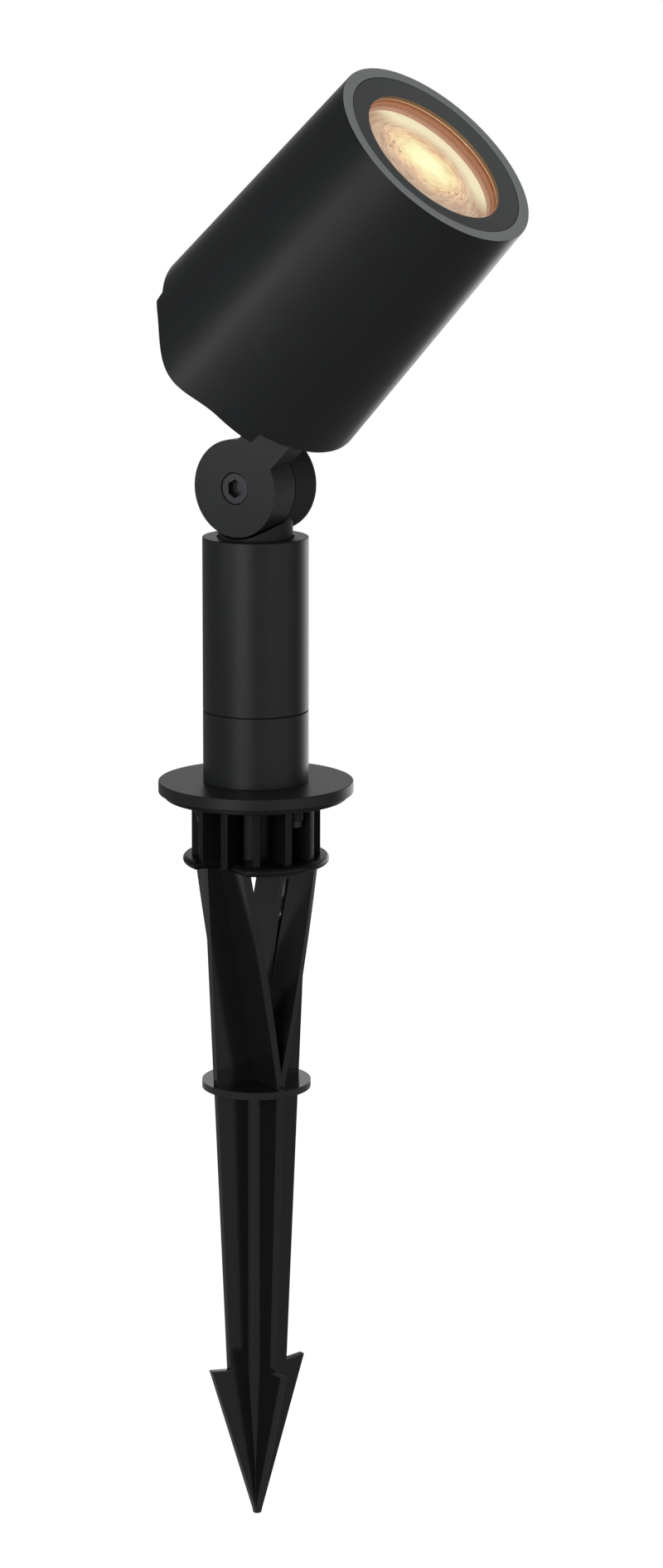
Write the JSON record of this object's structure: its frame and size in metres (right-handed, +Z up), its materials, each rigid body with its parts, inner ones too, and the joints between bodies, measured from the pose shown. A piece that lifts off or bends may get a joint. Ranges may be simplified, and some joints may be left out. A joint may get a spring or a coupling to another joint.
{
  "type": "garden spike spotlight",
  "caption": "Outdoor spotlight: a tapered round head that tilts on a knuckle, over a post with a swivel stem and a flange, on a finned plastic spike for soil.",
  "frame": {"origin": "on the post's axis at the soil line, the flat underside of the spike's dish", "axes": "+Z up along the post and spike, +X the way the head looks, the knuckle's screw along Y with its socket toward -Y"},
  "size_m": [0.1055, 0.0672, 0.4064],
  "materials": {
    "black_paint": "fine matt black powder coat",
    "ring_paint": "satin dark grey coat",
    "window_glass": "clear polished",
    "seal_rubber": "matt black",
    "copper_gasket": "satin copper brown",
    "lamp_face": "lit, finely patterned",
    "lamp_shell": "smooth white",
    "ceramic": "glazed cream",
    "steel": "plain zinc plated",
    "black_screw": "black oxide",
    "wire_sheath": "smooth insulation",
    "lead_sheath": "smooth black",
    "bearing_plastic": "natural",
    "spike_plastic": "moulded black, low sheen",
    "gland_plastic": "moulded black"
  },
  "bodies": {
    "base": {"swivel_bush": "bearing_plastic", "post_tube": "black_paint", "post_collar": "black_paint", "flange_disc": "black_paint", "flange_screws": "steel", "cable_gland": "gland_plastic", "gland_nut": "gland_plastic", "inner_lead": "lead_sheath", "terminal_block": "bearing_plastic", "base_gasket": "seal_rubber", "spike_dish": "spike_plastic", "spike_cage": "spike_plastic", "spike_shaft": "spike_plastic", "spike_screws": "steel"},
    "stem": {"stem_knuckle": "black_paint", "knuckle_screw": "black_screw", "friction_washer": "seal_rubber", "stem_retainer": "steel", "stem_nut": "steel", "stem_wires": "wire_sheath"},
    "head": {"head_shell": "black_paint", "cover_ring": "ring_paint", "front_glass": "window_glass", "glass_gasket": "copper_gasket", "lamp_lens": "lamp_face", "lamp_body": "lamp_shell", "lamp_pins": "steel", "lamp_holder": "ceramic", "holder_bracket": "steel", "holder_screws": "steel", "lamp_wires": "wire_sheath", "rear_cap": "black_paint", "cap_seal": "seal_rubber", "cap_screws": "black_screw", "tilt_knuckle": "black_paint", "foot_screws": "black_screw"}
  },
  "joints": [
    {"name": "stem_swivel", "type": "hinge", "parent": "base", "child": "stem", "pos_m": [0, 0, 0.0765], "axis": [0, 0, 1], "range_deg": [-170, 170]},
    {"name": "head_tilt", "type": "hinge", "parent": "stem", "child": "head", "pos_m": [0, 0, 0.0905], "axis": [0, -1, 0], "range_deg": [-64, 45]}
  ]
}
